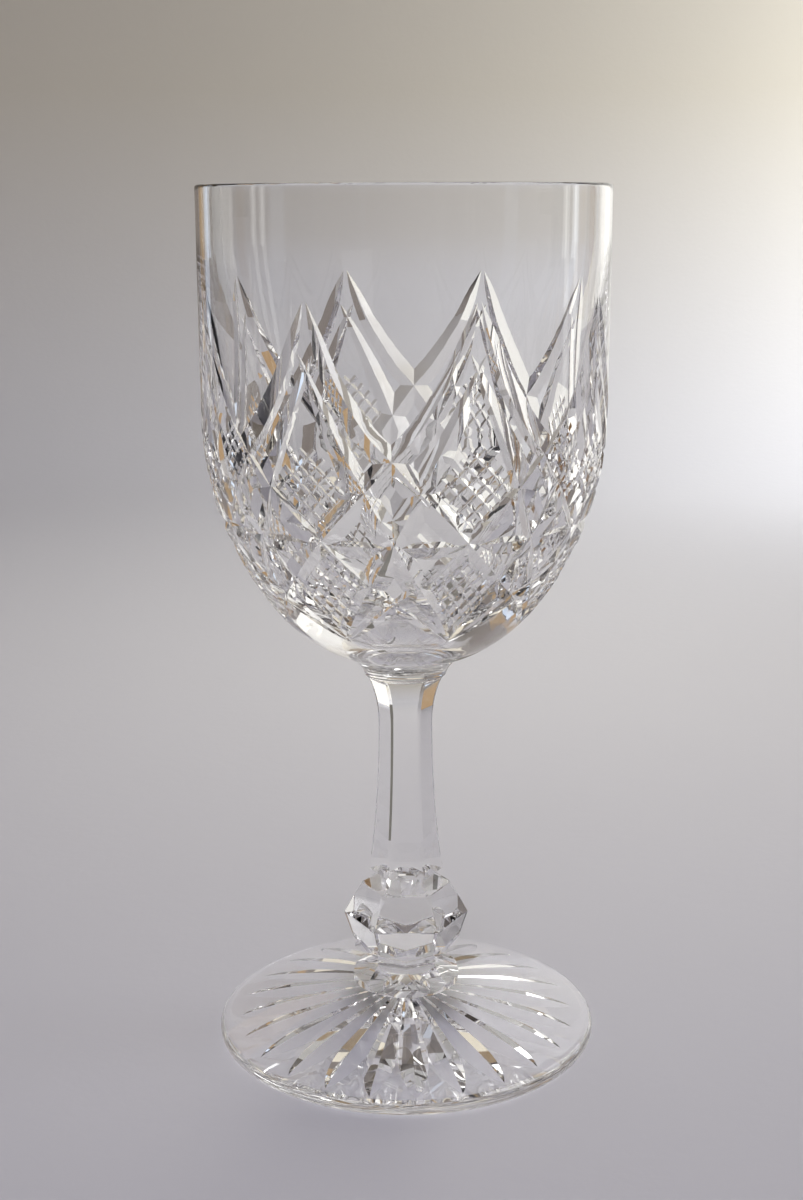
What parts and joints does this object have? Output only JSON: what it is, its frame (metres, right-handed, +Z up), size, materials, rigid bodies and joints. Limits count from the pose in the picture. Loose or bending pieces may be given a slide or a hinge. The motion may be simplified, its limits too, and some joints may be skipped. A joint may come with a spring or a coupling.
{
  "type": "wine glass",
  "caption": "Clear cut-crystal wine glass: straight-walled bowl with wheel-cut pointed arches, six-sided stem, faceted knop, scalloped collar and star-cut round foot.",
  "frame": {"origin": "centre of the foot's resting face on the table", "axes": "+Z up along the axis of the glass; one flat face of the stem looks towards -Y"},
  "size_m": [0.078, 0.078, 0.171],
  "materials": {
    "bowl_glass": "clear lead crystal, fire-polished rim, polished wheel cuts",
    "stem_glass": "clear lead crystal, flat polished facets",
    "foot_glass": "clear lead crystal, smooth above, star cut below"
  },
  "bodies": {
    "root": {"bowl": "bowl_glass", "stem": "stem_glass", "knop": "stem_glass", "collar": "stem_glass", "foot": "foot_glass"}
  },
  "joints": []
}
